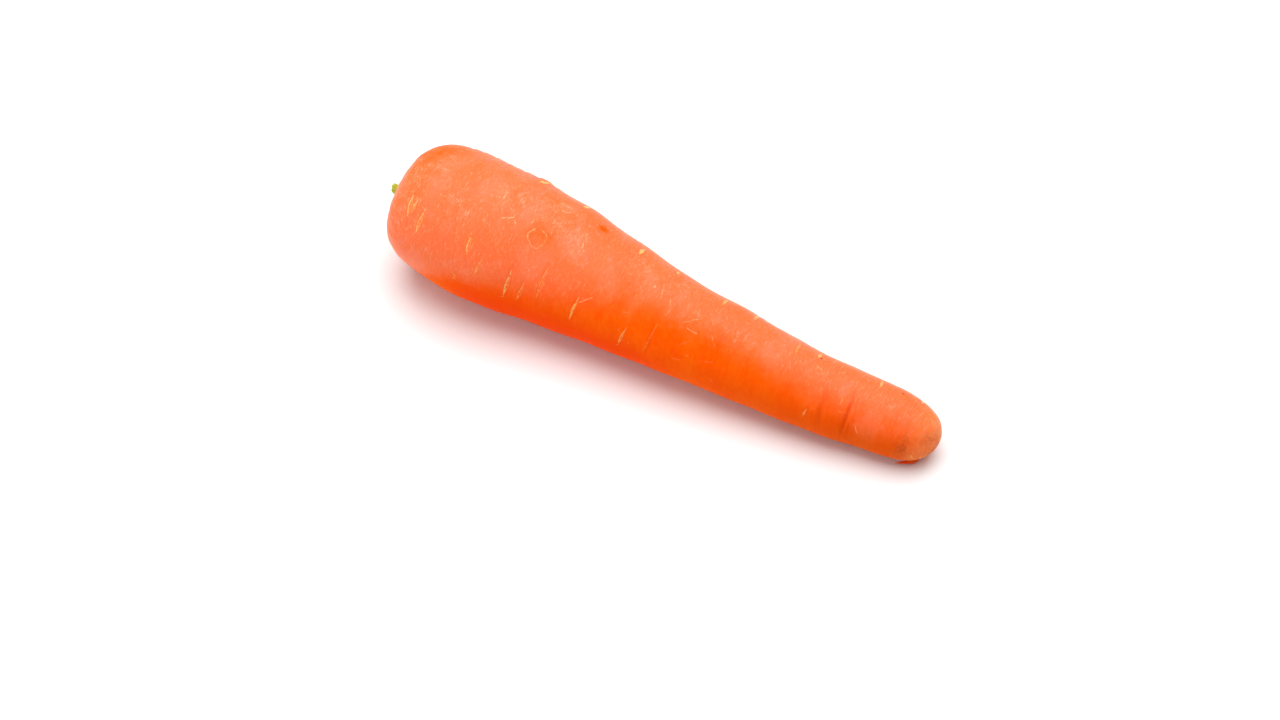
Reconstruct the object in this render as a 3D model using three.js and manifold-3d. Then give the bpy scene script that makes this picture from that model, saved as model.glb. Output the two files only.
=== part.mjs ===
// A picked carrot that lies on a flat surface: its taproot, the corky crown that its leaves grew
// from, and the green stubs of the leaf stalks that were trimmed off.
// Millimetres, +Z up. The origin is on the surface, under the middle of the carrot, and +X runs
// from the crown to the tip.

import * as THREE from 'three';
import { mergeVertices } from 'three/addons/utils/BufferGeometryUtils.js';
import Module from 'manifold-3d';

const wasm = await Module();
wasm.setup();

// Driving dimensions
const LENGTH = 190; // from the rim round the crown to the tip
const SHOULDER_RADIUS = 22.9; // at the widest, just below the crown
const TILT = THREE.MathUtils.degToRad(4.95); // dip of the root's axis from the crown to the tip
const REST_PRESS = 0.5; // depth of the flat spot that the root lies on
const PIECE_GAP = 0.3; // between one piece and the next

// Lateral-root scars and rings
const SCAR_DEPTH = 0.5;
const SCAR_REACH = 0.7; // along the root, to either side of a scar's middle line
const RING_REACH = 1.1; // the same, of a shallow ring

// Crown and leaf stubs
const CROWN_RADIUS = 9.3;
const LEAF_BASES = 15; // dry bases of cut leaves on the crown
const GOLDEN_ANGLE = THREE.MathUtils.degToRad(137.5); // from one leaf to the next
const BUD_RADIUS = 4.2; // green bud in the middle of the crown

// The root's outline, from the middle of the crown hollow over the rim to the tip. Each point is a
// station, in hundredths of LENGTH, and a radius, in hundredths of SHOULDER_RADIUS.
const ROOT_OUTLINE = [
  [1.5, 0], [1.6, 15.3], [1.4, 31.4], [0.5, 41], [0, 50.7], [0.5, 65.1], [1.9, 79], [4.7, 91.3],
  [9.5, 98.3], [15.8, 100], [21, 97.8], [26.3, 92.8], [32.1, 86.9], [38.9, 79.9], [46.3, 72.7],
  [52.6, 67.2], [58.9, 63.8], [66.8, 59.8], [74.7, 55.5], [81.6, 52.8], [87.9, 49.8], [92.4, 46.7],
  [95.8, 40.2], [98.4, 28.8], [99.7, 13.5], [100, 0],
];
const SHOULDER_POINT = 6; // from here to TIP_POINT the root's rings are set by their stations
const TIP_POINT = 23;

// The root isn't quite straight. Each point is a station and how far the axis lies towards +Y
// there, both in hundredths of LENGTH.
const ROOT_BEND = [
  [0, 0.2], [6, 0.4], [16, 0.1], [27, 0.5], [39.5, 0.1], [51.5, -0.6], [66, -0.6], [79, -0.5],
  [88.5, 0.3], [100, 1],
];

const percentOf = (size, share) => (size * share) / 100;
const degrees = THREE.MathUtils.degToRad;

// A repeatable draw between 0 and 1
function draw(seed) {
  const wave = Math.sin(seed * 12.9898) * 43758.5453;
  return wave - Math.floor(wave);
}

// A mark on the root: a station in millimetres, an angle round the axis in degrees (0 is up, 90
// towards -Y), its length round the root, its reach along the root and its depth.
function mark(station, angle, length, reach = SCAR_REACH, depth = SCAR_DEPTH) {
  return { station, angle: degrees(angle), half: length / 2, reach, depth };
}

// Lateral roots grow in four ranks down the root. Two ranks are on the upper side.
const UPPER_RANK = [
  mark(41, -42, 3.5), mark(57, -45, 4), mark(66.5, -25, 3, 1.3, 0.35), mark(80, -32, 4),
  mark(93, -39, 3), mark(111, -35, 4), mark(122, -35, 4), mark(139, -23, 4.2), mark(146, -26, 3.2),
  mark(167, -25, 3.2), mark(181, -38, 3),
];
const LOWER_RANK = [
  mark(9, 39, 5.5), mark(14, 48, 6.5), mark(32, 47, 6.5), mark(37, 61, 5.5), mark(47.5, 67, 8),
  mark(52, 75, 6), mark(57, 57, 7), mark(70, 63, 4.5), mark(87.5, 70, 6), mark(149, 63, 4),
];
const RINGS = [
  mark(96, 57, 12, RING_REACH, 0.2), mark(155, 73, 15, RING_REACH, 0.3),
  mark(162, 48, 17, RING_REACH, 0.45),
];
// The two ranks on the under side have scars of drawn lengths at the same stations.
const UNDER_RANKS = [146, 236].flatMap((rank, side) =>
  [...UPPER_RANK, ...LOWER_RANK]
    .filter((_, place) => place % 2 === side)
    .map((scar, place) => {
      const turn = (draw(place + 20 * side) - 0.5) * 24;
      return mark(scar.station, rank + turn, 3.5 + 4 * draw(place + 20 * side + 7));
    }),
);
const MARKS = [...UPPER_RANK, ...LOWER_RANK, ...RINGS, ...UNDER_RANKS];

// Swellings and dents: a station, an angle, a reach in millimetres and a height.
const SWELLINGS = [
  { station: 41, angle: degrees(-50), reach: 2.5, height: 0.35 },
  { station: 184, angle: degrees(112), reach: 5, height: 0.6 },
  { station: 187.5, angle: degrees(47), reach: 2.4, height: -0.6 },
];

// Value at x of a line through points, which go up in x
function lookUp(points, x) {
  const next = Math.max(1, points.findIndex((point) => point.x >= x));
  const [from, to] = [points[next - 1], points[next]];
  return THREE.MathUtils.mapLinear(x, from.x, to.x, from.y, to.y);
}

const outlinePoints = ROOT_OUTLINE.map(([station, radius]) =>
  new THREE.Vector2(percentOf(LENGTH, station), percentOf(SHOULDER_RADIUS, radius)));
const outline = new THREE.SplineCurve(outlinePoints);
const outlineSpans = outlinePoints.length - 1;
const FINE_STEPS = 40; // per span, where a curve is looked up by its stations
const bodyOutline = outline.getPoints(outlineSpans * FINE_STEPS).slice(SHOULDER_POINT * FINE_STEPS);
const bend = new THREE.SplineCurve(ROOT_BEND.map(([station, offset]) =>
  new THREE.Vector2(percentOf(LENGTH, station), percentOf(LENGTH, offset))));
const bendPoints = bend.getPoints((ROOT_BEND.length - 1) * FINE_STEPS);
const sideways = (station) => lookUp(bendPoints, THREE.MathUtils.clamp(station, 0.001, LENGTH));

// Height of the axis over the surface at the crown, so that the lowest side is REST_PRESS below it
const axisHeight = Math.max(...bodyOutline.map(({ x, y }) =>
  x * Math.sin(TILT) + y * Math.cos(TILT))) - REST_PRESS;
const surfaceUnderAxis = (station) => (station * Math.sin(TILT) - axisHeight) / Math.cos(TILT);

// How far the skin stands out from the smooth outline
function relief(station, radius, angle) {
  const size = radius / SHOULDER_RADIUS;
  let height = size * (0.25 * Math.sin(2 * angle + 0.045 * station + 0.6)
    + 0.15 * Math.sin(3 * angle - 0.08 * station)
    + 0.12 * Math.sin(0.33 * station + 1.5 * Math.cos(angle)));
  const roundTo = (turn) => radius * Math.atan2(Math.sin(turn), Math.cos(turn));
  for (const scar of MARKS) {
    const across = roundTo(angle - scar.angle) / scar.half;
    if (Math.abs(across) < 1) {
      const along = (station - scar.station) / scar.reach;
      height -= scar.depth * Math.sqrt(1 - across ** 2) * Math.exp(-(along ** 2));
    }
  }
  for (const lump of SWELLINGS) {
    const across = roundTo(angle - lump.angle) / lump.reach;
    const along = (station - lump.station) / lump.reach;
    height += lump.height * Math.exp(-(along ** 2) - across ** 2);
  }
  return height;
}

// Point at a distance from the root's axis. The axis runs along +X and bends sideways.
function onAxis(station, radius, angle) {
  return new THREE.Vector3(
    station,
    sideways(station) - radius * Math.sin(angle),
    radius * Math.cos(angle),
  );
}

function rootPoint(station, radius, angle) {
  const point = onAxis(station, radius && radius + relief(station, radius, angle), angle);
  point.z = Math.max(point.z, surfaceUnderAxis(station));
  return point;
}

// A closed solid from rings of points. rings gives each ring's station and radius, and the first and
// last have no radius. place puts a point of a ring where it goes, and angles are the ring's points.
function ringedSolid(rings, angles, place) {
  const sides = angles.length;
  const middle = rings.slice(1, -1);
  const ends = [rings[0], rings.at(-1)].map((ring) => place(ring.x, 0, 0));
  const points = [ends[0], ...middle.flatMap((ring) =>
    angles.map((angle) => place(ring.x, ring.y, angle))), ends[1]];
  const at = (ring, side) => 1 + ring * sides + (side % sides);
  const faces = [];
  for (let side = 0; side < sides; side += 1) {
    faces.push(0, at(0, side + 1), at(0, side));
    for (let ring = 0; ring < middle.length - 1; ring += 1) {
      const [near, nearNext] = [at(ring, side), at(ring, side + 1)];
      const [far, farNext] = [at(ring + 1, side), at(ring + 1, side + 1)];
      faces.push(near, nearNext, farNext, near, farNext, far);
    }
    const last = middle.length - 1;
    faces.push(points.length - 1, at(last, side), at(last, side + 1));
  }
  const geometry = new THREE.BufferGeometry().setFromPoints(points);
  geometry.setIndex(faces);
  return geometry;
}

const evenAngles = (count) => Array.from({ length: count }, (_, side) => (side / count) * 2 * Math.PI);

// Stations of the root's rings between its two ends: one on each mark and one on either side of it,
// and more where they are far apart
function bodyStations() {
  const [first, last] = [outlinePoints[SHOULDER_POINT].x, outlinePoints[TIP_POINT].x];
  const stations = [];
  const add = (station, room) => {
    const free = stations.every((other) => Math.abs(other - station) >= room);
    if (free && station >= first && station < last) stations.push(station);
  };
  MARKS.forEach(({ station }) => add(station, 1.5));
  MARKS.forEach(({ station, reach }) => [-1.6, 1.6].forEach((side) =>
    add(station + side * reach, 0.8)));
  const fillStep = 4.5;
  for (let station = first; station < last; station += fillStep / 2) add(station, fillStep / 2);
  return stations.sort((a, b) => a - b);
}

function root() {
  const endSteps = 2; // rings for each span of the outline at the two ends
  const ringAt = (step) => outline.getPoint(step / endSteps / outlineSpans);
  const stepRange = (from, to) => Array.from({ length: to - from }, (_, step) => ringAt(from + step));
  const rings = [
    ...stepRange(0, SHOULDER_POINT * endSteps),
    ...bodyStations().map((station) => new THREE.Vector2(station, lookUp(bodyOutline, station))),
    ...stepRange(TIP_POINT * endSteps, outlineSpans * endSteps + 1),
  ];
  // The points crowd together on the four ranks of scars.
  const crowding = 0.11;
  const ranks = degrees(56);
  const angles = evenAngles(48).map((angle) => angle - crowding * Math.sin(4 * (angle - ranks)));
  return ringedSolid(rings, angles, rootPoint);
}

// The crown's leaf bases are crescents round its middle, each a golden angle on from the last and
// nearer to the middle.
function leafBaseHeight(radius, angle) {
  const ridge = { height: 1, halfThickness: 0.55, halfTurn: degrees(52) };
  let height = 0;
  for (let leaf = 0; leaf < LEAF_BASES; leaf += 1) {
    const turn = angle - leaf * GOLDEN_ANGLE;
    const across = Math.atan2(Math.sin(turn), Math.cos(turn)) / ridge.halfTurn;
    if (Math.abs(across) < 1) {
      const middle = THREE.MathUtils.lerp(CROWN_RADIUS - 1, BUD_RADIUS + 0.8, leaf / LEAF_BASES);
      const out = (radius - middle) / ridge.halfThickness;
      height = Math.max(height, ridge.height * (1 - across ** 2) * Math.exp(-(out ** 2)));
    }
  }
  return height;
}

// The top of the crown, as a station. It dips under the bud and towards its edge.
function crownTop(radius) {
  const middle = (BUD_RADIUS + CROWN_RADIUS) / 2;
  const dip = (radius - middle) / (CROWN_RADIUS - middle);
  return THREE.MathUtils.lerp(-0.2, 0.8, Math.min(1, dip ** 2));
}

function crown() {
  const floorPoints = outline.getPoints(outlineSpans * FINE_STEPS)
    .filter(({ y }) => y < CROWN_RADIUS + 1)
    .slice(0, SHOULDER_POINT * FINE_STEPS);
  const floorAt = (radius) => lookUp(
    floorPoints.map(({ x, y }) => new THREE.Vector2(y, x)), Math.max(radius, 0.001)) - PIECE_GAP;
  const rings = [];
  const topSteps = 17;
  for (let step = 0; step <= topSteps; step += 1) {
    const radius = (CROWN_RADIUS * step) / topSteps;
    rings.push(new THREE.Vector2(crownTop(radius), radius));
  }
  const floorSteps = 4;
  for (let step = 0; step <= floorSteps; step += 1) {
    const radius = (CROWN_RADIUS - 0.2) * (1 - step / floorSteps);
    rings.push(new THREE.Vector2(floorAt(radius), radius));
  }
  const isTop = (station, radius) => station < floorAt(radius) - 0.1;
  return ringedSolid(rings, evenAngles(44), (station, radius, angle) => {
    const raised = isTop(station, radius) ? leafBaseHeight(radius, angle) : 0;
    return onAxis(station - raised, radius, angle);
  });
}

function toManifold(geometry) {
  geometry.deleteAttribute('normal');
  geometry.deleteAttribute('uv');
  const merged = mergeVertices(geometry, 1e-4);
  return new wasm.Manifold(new wasm.Mesh({
    numProp: 3,
    vertProperties: new Float32Array(merged.attributes.position.array),
    triVerts: new Uint32Array(merged.index.array),
  }));
}

// The joined solid, without the crumbs of triangles that a join leaves
function fromManifold(solid) {
  const crumb = 0.03;
  const mesh = solid.getMesh();
  const geometry = new THREE.BufferGeometry();
  geometry.setAttribute('position', new THREE.BufferAttribute(mesh.vertProperties, 3));
  geometry.setIndex(new THREE.BufferAttribute(mesh.triVerts, 1));
  const welded = mergeVertices(geometry, crumb);
  const corners = welded.index.array;
  const faces = [];
  for (let start = 0; start < corners.length; start += 3) {
    const face = Array.from(corners.subarray(start, start + 3));
    if (new Set(face).size === 3) faces.push(...face);
  }
  welded.setIndex(faces);
  return welded;
}

// The stub of a leaf stalk: flat across, with a channel down its inner side, fine ribs down its
// outer side and a slanting cut. It leans out from the middle of the crown.
function leafStub({ angle, offset, width, thickness, height, lean }) {
  const rings = [[0, 0], [0, 1.12], [0.35, 1], [0.7, 0.95], [1, 0.9], [1, 0]].map(([share, size]) =>
    new THREE.Vector2(share, size));
  const foot = crownTop(0) - PIECE_GAP;
  const toCrown = new THREE.Matrix4().makeRotationX(angle)
    .multiply(new THREE.Matrix4().makeTranslation(foot, sideways(0), offset))
    .multiply(new THREE.Matrix4().makeRotationY(-lean));
  return ringedSolid(rings, evenAngles(18), (share, size, turn) => {
    const across = size * (width / 2) * Math.sin(turn);
    const ribs = 0.06 * Math.cos(9 * turn);
    const out = size * (thickness / 2) * (Math.cos(turn) + ribs);
    const channel = Math.cos(turn) < 0 ? 0.3 * thickness * size * Math.cos(turn) ** 2 : 0;
    const cut = share * (0.25 * across + 0.3 * out);
    return new THREE.Vector3(-share * height - cut, across, out + channel).applyMatrix4(toCrown);
  });
}

function leafStubs() {
  const budTop = new THREE.Vector2(crownTop(0) - PIECE_GAP - 1.6, 0);
  const bud = ringedSolid(
    [
      budTop, new THREE.Vector2(budTop.x + 0.2, BUD_RADIUS * 0.45),
      new THREE.Vector2(budTop.x + 0.8, BUD_RADIUS * 0.8),
      new THREE.Vector2(budTop.x + 1.4, BUD_RADIUS * 0.9),
      new THREE.Vector2(budTop.x + 1.6, BUD_RADIUS * 0.8), new THREE.Vector2(budTop.x + 1.6, 0),
    ],
    evenAngles(20),
    onAxis,
  );
  const stubs = [
    { angle: degrees(48), offset: 2.3, width: 3.6, thickness: 2.4, height: 5.2, lean: degrees(12) },
    { angle: degrees(186), offset: 2.2, width: 3, thickness: 1.8, height: 3.2, lean: degrees(16) },
    { angle: degrees(323), offset: 1.9, width: 2.6, thickness: 1.6, height: 2.7, lean: degrees(10) },
    { angle: degrees(101), offset: 0.9, width: 1.8, thickness: 1.3, height: 3, lean: degrees(4) },
  ];
  const solid = stubs.map((stub) => toManifold(leafStub(stub)))
    .reduce((all, stub) => all.add(stub), toManifold(bud));
  return fromManifold(solid);
}

function piece(name, geometry, color, roughness) {
  geometry.computeVertexNormals();
  const material = new THREE.MeshStandardMaterial({ color, roughness, metalness: 0 });
  const mesh = new THREE.Mesh(geometry, material);
  mesh.name = name;
  return mesh;
}

// On its own axis, the carrot lies along +X. Tilted and lifted, it lies on the surface.
const lying = new THREE.Group();
lying.add(
  piece('root', root(), 0xf4703a, 0.5),
  piece('crown', crown(), 0x8c7a4a, 0.9),
  piece('leaf_stubs', leafStubs(), 0xa9b52c, 0.6),
);
lying.rotation.y = TILT;
lying.position.z = axisHeight;

const group = new THREE.Group();
group.add(lying);
const box = new THREE.Box3().setFromObject(group, true);
group.position.set(-(box.min.x + box.max.x) / 2, -(box.min.y + box.max.y) / 2, 0);

export default group;
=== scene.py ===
import math
from types import SimpleNamespace

import bpy
import numpy as np
from mathutils import Matrix, Vector, noise


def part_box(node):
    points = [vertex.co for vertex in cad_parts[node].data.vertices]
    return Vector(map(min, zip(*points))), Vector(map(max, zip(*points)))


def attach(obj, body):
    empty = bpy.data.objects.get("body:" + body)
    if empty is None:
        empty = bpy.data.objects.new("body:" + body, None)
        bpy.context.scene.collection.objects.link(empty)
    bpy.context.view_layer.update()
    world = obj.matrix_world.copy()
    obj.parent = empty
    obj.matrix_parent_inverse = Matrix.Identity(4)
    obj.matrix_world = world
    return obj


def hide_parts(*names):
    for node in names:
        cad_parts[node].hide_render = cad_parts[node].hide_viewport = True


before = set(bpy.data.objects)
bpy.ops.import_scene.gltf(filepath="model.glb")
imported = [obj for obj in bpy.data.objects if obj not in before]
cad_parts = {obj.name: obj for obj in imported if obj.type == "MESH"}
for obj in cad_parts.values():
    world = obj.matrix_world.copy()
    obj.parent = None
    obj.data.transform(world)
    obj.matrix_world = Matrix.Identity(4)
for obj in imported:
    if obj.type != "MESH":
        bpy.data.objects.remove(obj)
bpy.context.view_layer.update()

# ---------------------------------------------------------------------------------------------
# The root: the carrot's swollen taproot, one grown body of firm orange flesh under a thin skin.
# It is widest at the shoulder and ends blunt. Its side roots grew in four ranks and left slits
# of pale cork, and it lies on two small flat spots, one under the shoulder and one near the tip.
# ---------------------------------------------------------------------------------------------

MM = 0.001
LENGTH = 190 * MM  # from the rim round the crown to the tip
SHOULDER_RADIUS = 22.9 * MM
TILT = math.radians(4.95)  # dip of the root's axis from the crown to the tip
REST_PRESS = 0.5 * MM  # depth of the flat spots
FIRST_RANK = 56  # degrees: one of the four ranks of scars; the others are a quarter turn on

# Stations in hundredths of LENGTH, with radii in hundredths of SHOULDER_RADIUS, from the middle
# of the hollow for the crown over its rim to the tip
ROOT_OUTLINE = [
    (1.5, 0), (1.6, 15.3), (1.4, 31.4), (0.5, 41), (0, 50.7), (0.5, 65.1), (1.9, 79), (4.7, 91.3),
    (9.5, 98.3), (15.8, 100), (21, 97.8), (26.3, 92.8), (32.1, 86.9), (38.9, 79.9), (46.3, 72.7),
    (52.6, 67.2), (58.9, 63.8), (66.8, 59.8), (74.7, 55.5), (81.6, 52.8), (87.9, 49.8),
    (92.4, 46.7), (95.8, 40.2), (98.4, 28.8), (99.7, 13.5), (100, 0),
]
RIM_POINT = 4  # the outline's point on the rim

# Stations, and how far the axis bends towards +Y there, both in hundredths of LENGTH
ROOT_BEND = [
    (0, 0.2), (6, 0.4), (16, 0.1), (27, 0.5), (39.5, 0.1), (51.5, -0.6), (66, -0.6), (79, -0.5),
    (88.5, 0.3), (100, 1),
]

RING_COUNT = 610  # rings of points from the middle of the hollow to the tip
SIDE_COUNT = 156  # points in each ring

# Marks lie at a station in mm and an angle round the axis in degrees (0 is up, 90 towards -Y).
# Scars of side roots: place, length in mm, heading in degrees (0 is along the root, 90 round
# it), half width in mm, how full of cork the slit is and how clearly it shows, both 0 to 1
UPPER_SCARS = [
    (41.5, -42.6, 4.2, 122, 0.6, 1, 1), (57.4, -43.5, 3.6, 116, 0.5, 1, 1),
    (79.9, -34.2, 5, 91, 0.42, 1, 1), (93, -41.7, 2.2, 90, 0.3, 1, 1),
    (110.9, -34.8, 4.6, 92, 0.3, 1, 0.8), (121.8, -39.5, 5, 90, 0.34, 1, 0.8),
    (138.4, -20.5, 5, 86, 0.24, 1, 0.6), (145.3, -31, 3.4, 88, 0.38, 1, 0.9),
    (166.4, -32.7, 5, 82, 0.24, 1, 0.8), (180.2, -44.6, 3.2, 90, 0.26, 1, 0.75),
]
LOWER_SCARS = [
    (8.6, 40.3, 6.8, 84, 0.46, 0.1, 1), (10.1, 39.9, 5.4, 96, 0.32, 0.3, 1),
    (13.9, 48.8, 7.6, 92, 0.5, 0.25, 1), (30.2, 81.2, 2.6, 88, 0.2, 0.4, 0.5),
    (31.7, 47, 6, 85, 0.4, 0.15, 1), (36.9, 61.7, 5.4, 99, 0.36, 0.1, 0.75),
    (47.1, 68.3, 9.6, 92, 0.34, 0.1, 1), (51.8, 71.6, 6.6, 97, 0.35, 0.15, 0.55),
    (57.4, 54.2, 10, 91, 0.38, 0.1, 0.56), (69.5, 65.4, 8, 95, 0.26, 0.3, 0.95),
    (86.9, 72.6, 7, 98, 0.3, 0.15, 0.8), (95.6, 58.7, 9.4, 97, 0.16, 0.8, 0.25),
    (149.1, 68.6, 3.1, 97, 0.2, 0.4, 0.75),
]
SCAR_DEPTH = 0.1 * MM

# Rings run round the root: place and length in mm, depth and half width in mm
RINGS = [
    (92.6, 2, 6, 0.06, 0.3), (96, 56, 13, 0.16, 0.4), (153.5, 54, 15, 0.24, 0.9),
    (161.5, 50, 20, 0.62, 0.55), (163.2, 74, 8, 0.22, 0.5), (149.5, 66, 7, 0.12, 0.4),
    (170.4, 66, 8, 0.1, 0.5), (176, 30, 9, 0.08, 0.5), (57.3, 45, 17, 0.1, 0.5),
    (47.5, 60, 20, 0.1, 0.5), (14.6, -50, 9, 0.2, 0.5), (18, -48, 13, 0.26, 0.5),
    (22.4, -48, 14, 0.3, 0.5), (27, -48, 11, 0.24, 0.6), (33.3, -47, 13, 0.24, 0.8),
    (38, -47, 9, 0.4, 0.7), (44.5, -50, 7, 0.35, 0.7), (66, -45, 9, 0.2, 0.6),
    (72.5, -48, 8, 0.16, 0.5),
]
DRAWN_RINGS = 90
SWELLINGS = [  # place, reach in mm, height in mm, which is negative for a dent
    (41.4, -50, 2.2, 0.6), (184, 112, 5, 0.6), (187.5, 47, 2.4, -0.6), (66.2, -27, 1.4, -0.35),
    (158.4, 55, 4, 0.2), (150.6, 56, 3.4, 0.14), (61, -46, 7, 0.5), (117, -38, 9, 0.45),
    (11, -37, 7, 0.4), (22, -45, 3, -0.2),
]
SCUFFS = [  # rubbed patches: place, length along and round the root in mm
    (38, -6, 18, 13), (55, 2, 8, 8), (54, -20, 9, 7), (62, 4, 6, 10), (84, -8, 7, 10),
    (97, -24, 12, 8), (71.5, 55, 5, 9), (104, 18, 8, 9), (120, 20, 12, 8), (24, 24, 14, 10),
    (12, -6, 10, 12), (4, 0, 16, 44), (5, 48, 14, 24), (50, -10, 14, 12), (60, 190, 24, 20),
    (110, 230, 26, 14), (30, 250, 20, 22), (150, 150, 24, 12),
]
# Thin scratches: place, length in mm, heading in degrees (0 is along the root, 90 round it) and
# strength
SCRATCHES = [
    (39.2, 14.5, 3.4, -28, 1), (42, 15.4, 1.8, 40, 0.9), (34.8, -2.1, 1.7, 85, 0.9),
    (54.7, -19, 2.6, -48, 0.6), (64, 3.8, 1, 60, 1), (49.2, -1.4, 4, -55, 0.2),
    (46.6, 9, 1.8, -70, 0.5), (72, 52, 5.2, -45, 0.5), (70.2, 57, 4.4, -70, 0.5),
    (92.7, 1, 4, 75, 0.5), (89.8, 1.5, 0.8, 45, 1), (96.7, 9.6, 0.8, 45, 0.9),
    (165.7, 64.5, 2.6, 60, 0.5), (184.5, 95, 2.2, 70, 1), (105.5, 16, 5, -40, 0.4),
]
DRAWN_SCRATCHES = 130
STAINS = [  # place, length along and round the root in mm, strength
    (180.8, 71, 3.6, 10, 1), (187, 38, 4, 5, 0.5), (189.4, 110, 5, 5, 0.8), (176, 200, 8, 8, 0.9),
]
# Painted light is weaker at these patches; the first of them is also a rubbed bare patch.
BARE_AND_LESS_PAINTED_LIGHT = [  # where less light is painted: place, length along and round in mm, share that is gone
    (66.2, -27, 3.6, 2.8, 1), (7, -24, 18, 20, 0.65), (52, 18, 17, 12, 0.6), (76, 10, 16, 10, 0.3),
]
# Stations in mm, with the angles in degrees where the painted light on top starts to fade and where
# it is gone
PAINTED_LIGHT_STATIONS = [0, 12, 30, 45, 60, 75, 90, 110, 130, 150, 160, 172, 182, 190]
PAINTED_LIGHT_STARTS = [124, 90, 63, 50, 30, -2, -26, -31, -26, -20, -16, -28, -14, -18]
PAINTED_LIGHT_ENDS = [170, 134, 96, 92, 96, 83, 63, 57, 66, 86, 86, 118, 72, 50]
BACK_PAINTED_LIGHT_START, BACK_PAINTED_LIGHT_END = 1.2, 2  # on the far side, in radians, all along the root


def smooth_line(points, steps):
    """Points of a Catmull-Rom spline through the given ones, steps to a span."""
    points = np.array(points, float)
    padded = np.vstack([points[:1], points, points[-1:]])
    share = np.linspace(0, 1, steps, endpoint=False)[:, None]
    spans = []
    for before, start, end, after in zip(padded, padded[1:], padded[2:], padded[3:]):
        leave, arrive = (end - before) / 2, (after - start) / 2
        spans.append(
            (2 * start - 2 * end + leave + arrive) * share ** 3
            + (3 * end - 3 * start - 2 * leave - arrive) * share ** 2
            + leave * share + start
        )
    return np.vstack([*spans, points[-1:]])


LINE_STEPS = 40
outline = smooth_line(ROOT_OUTLINE, LINE_STEPS) * (LENGTH / 100, SHOULDER_RADIUS / 100)
bend_line = smooth_line(ROOT_BEND, LINE_STEPS) * (LENGTH / 100)
axis_height = (outline @ (math.sin(TILT), math.cos(TILT))).max() - REST_PRESS


def draw(seed):
    """A repeatable number between 0 and 1."""
    wave = math.sin(seed * 12.9898) * 43758.5453
    return wave - math.floor(wave)


def turn_between(angle, other):
    """The turn from one angle to another, between minus and plus half a turn."""
    return (angle - other + math.pi) % (2 * math.pi) - math.pi


def under_side_scars():
    """The two ranks of scars on the under side, drawn at the same stations as the others."""
    listed = UPPER_SCARS + LOWER_SCARS
    scars = []
    for side, rank in enumerate((FIRST_RANK + 90, FIRST_RANK + 180)):
        for number, (station, *_) in enumerate(listed[side::2]):
            seed = number + 20 * side
            angle = rank + 24 * (draw(seed) - 0.5)
            length = 3.5 + 5 * draw(seed + 7)
            heading = 90 + 20 * (draw(seed + 19) - 0.5)
            scars.append((station, angle, length, heading, 0.4, draw(seed + 13), 1))
    return scars


def ring_lines(scars):
    """Shallow rings: the listed ones, a faint one through each scar, and drawn ones between."""
    lines = list(RINGS)
    for number, (station, angle, length, *_) in enumerate(scars):
        spread = 2.2 + 1.6 * draw(number + 60)
        depth = 0.04 + 0.05 * draw(number + 90)
        lines.append((station + 0.2, angle, length * spread, depth, 0.6))
    for number in range(DRAWN_RINGS):
        station = 4 + 181 * draw(number + 200)
        angle = 360 * draw(number + 300)
        length = 7 + 20 * draw(number + 400)
        depth = 0.02 + 0.06 * draw(number + 500) ** 2
        lines.append((station, angle, length, depth, 0.25 + 0.4 * draw(number + 600)))
    return lines


def drawn_scratches():
    """Faint short scratches all over the root."""
    scratches = []
    for number in range(DRAWN_SCRATCHES):
        station = 3 + 184 * draw(number + 700)
        angle = 360 * draw(number + 800)
        length = 0.8 + 2.8 * draw(number + 900) ** 2
        heading = 180 * draw(number + 1000)
        scratches.append((station, angle, length, heading, 0.06 + 0.34 * draw(number + 1100)))
    return scratches


SCARS = UPPER_SCARS + LOWER_SCARS + under_side_scars()


def ring_angles(sides):
    """Evenly spaced angles for the points of a ring, as a row."""
    return np.linspace(0, 2 * math.pi, sides, endpoint=False)[None, :]


def root_grid():
    """How far each of the root's rings is along the outline, its station and radius, and the
    angles of its points. Rings crowd together at the scars, and points on the four ranks."""
    steps = np.hypot(*np.diff(outline, axis=0).T)
    run = np.concatenate([[0], np.cumsum(steps)])
    weight = np.ones(len(outline))
    for station, *_ in UPPER_SCARS + LOWER_SCARS:
        weight += 1.6 * np.exp(-(((outline[:, 0] - station * MM) / (1.2 * MM)) ** 2))
    measure = np.concatenate([[0], np.cumsum(np.diff(run) * (weight[1:] + weight[:-1]) / 2)])
    wanted = np.interp(np.linspace(0, measure[-1], RING_COUNT), measure, run)
    station, radius = (np.interp(wanted, run, column)[:, None] for column in outline.T)
    angle = ring_angles(SIDE_COUNT)
    crowding = 0.11 * np.sin(4 * (angle - math.radians(FIRST_RANK)))
    return wanted[:, None], station, radius, angle - crowding


def smooth_step(values, low, high):
    """0 at low, 1 at high and smooth between. low may be above high."""
    share = np.clip((values - low) / (high - low), 0, 1)
    return share * share * (3 - 2 * share)


def near_marks(marks, station, radius, angle):
    """For each point, the nearest of the marks, which are long and thin: how far along it the
    point is, as a share of half its length, how far off its middle line in metres, how near it
    is, from 0 to 1, and the mark's number."""
    shape = np.broadcast(station, angle).shape
    along, off, near = (np.zeros(shape) for _ in range(3))
    which = np.zeros(shape, int)
    for number, (at, turn, length, heading) in enumerate(marks):
        east = station - at * MM
        north = radius * turn_between(angle, math.radians(turn))
        slope = math.radians(heading)
        this_along = (east * math.cos(slope) + north * math.sin(slope)) / (length * MM / 2)
        this_off = north * math.cos(slope) - east * math.sin(slope)
        this_off = this_off + 0.3 * MM * (draw(number + 11) - 0.5) * this_along ** 2
        this_near = np.clip(4 * (1.25 - np.abs(this_along)), 0, 1)
        this_near = this_near * np.clip(3.2 - 2 * np.abs(this_off) / MM, 0, 1)
        nearer = this_near > near
        for kept, this in ((along, this_along), (off, this_off), (near, this_near)):
            kept[nearer] = this[nearer]
        which[nearer] = number
    return along, off, near, which


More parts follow.
